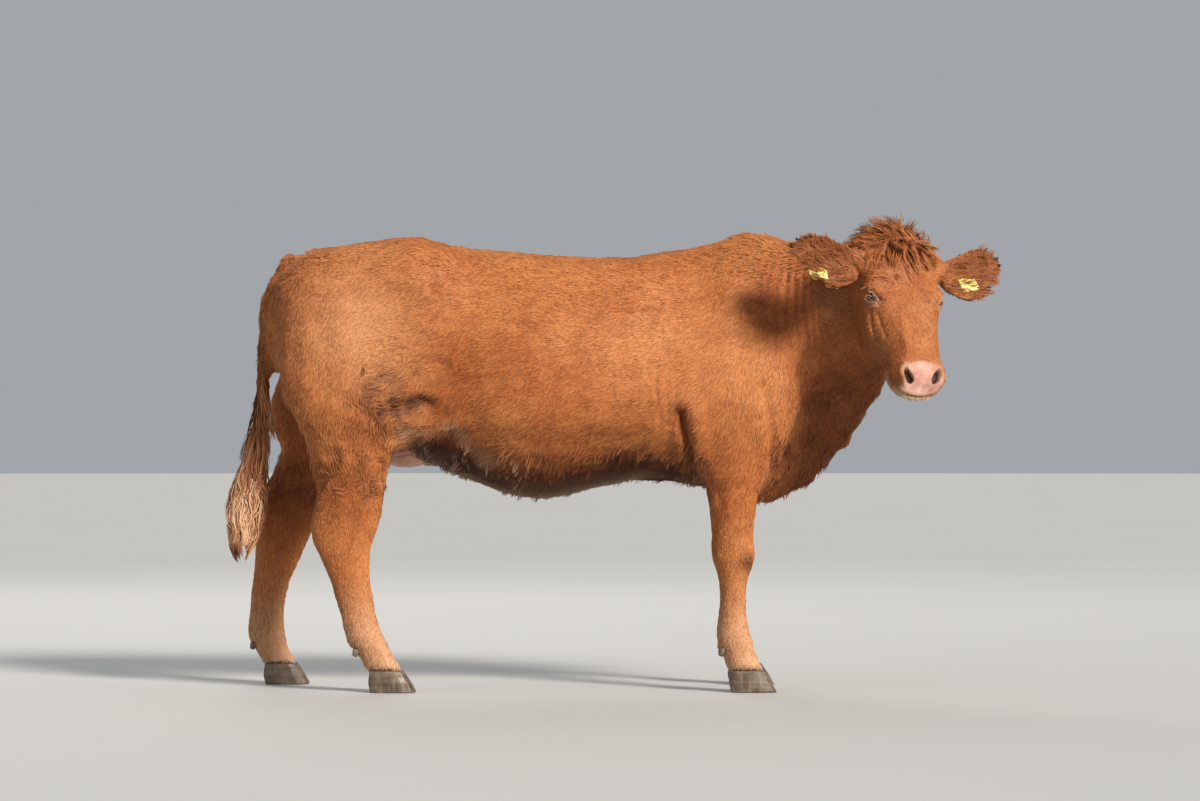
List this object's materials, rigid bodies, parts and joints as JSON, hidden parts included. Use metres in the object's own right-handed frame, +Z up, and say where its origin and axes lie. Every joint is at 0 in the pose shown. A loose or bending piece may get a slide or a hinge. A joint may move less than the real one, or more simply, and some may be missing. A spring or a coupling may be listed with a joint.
{
  "type": "cow",
  "caption": "Life-size standing beef cow in a short red-brown coat, head turned to its right and one hind leg set back, tagged in both ears; a still museum model.",
  "frame": {"origin": "on the floor under the middle of the bounding box", "axes": "+X forwards along the body, +Y to the animal's left, +Z up"},
  "size_m": [2.2521, 0.8433, 1.3594],
  "materials": {
    "coat": "short glossy hair, red-brown",
    "switch_hair": "long wavy hair, blond over red-brown",
    "nose_skin": "bare moist skin, pale pink",
    "chin_hair": "fine short hair over pale skin",
    "udder_skin": "soft bare skin",
    "horn": "dull dark horn",
    "eye": "wet, very dark brown",
    "tag": "plain yellow, unmarked"
  },
  "bodies": {
    "root": {"rump": "coat", "barrel": "coat", "chest": "coat", "thigh_right": "coat", "thigh_left": "coat", "neck": "coat", "forearm_fore_right": "coat", "knee_fore_right": "coat", "cannon_fore_right": "coat", "pastern_fore_right": "coat", "claw_fore_right_outer": "horn", "dewclaw_fore_right_outer": "horn", "claw_fore_right_inner": "horn", "dewclaw_fore_right_inner": "horn", "forearm_fore_left": "coat", "knee_fore_left": "coat", "cannon_fore_left": "coat", "pastern_fore_left": "coat", "claw_fore_left_inner": "horn", "dewclaw_fore_left_inner": "horn", "claw_fore_left_outer": "horn", "dewclaw_fore_left_outer": "horn", "gaskin_hind_right": "coat", "hock_hind_right": "coat", "cannon_hind_right": "coat", "pastern_hind_right": "coat", "claw_hind_right_outer": "horn", "dewclaw_hind_right_outer": "horn", "claw_hind_right_inner": "horn", "dewclaw_hind_right_inner": "horn", "gaskin_hind_left": "coat", "hock_hind_left": "coat", "cannon_hind_left": "coat", "pastern_hind_left": "coat", "claw_hind_left_inner": "horn", "dewclaw_hind_left_inner": "horn", "claw_hind_left_outer": "horn", "dewclaw_hind_left_outer": "horn", "udder": "udder_skin", "tail_dock": "coat", "tail_tip": "coat", "tail_switch": "switch_hair", "head": "coat", "muzzle": "nose_skin", "chin": "chin_hair", "eye_left": "eye", "eye_right": "eye", "tag_right": "tag", "ear_right": "coat", "tag_left": "tag", "ear_left": "coat"}
  },
  "joints": []
}
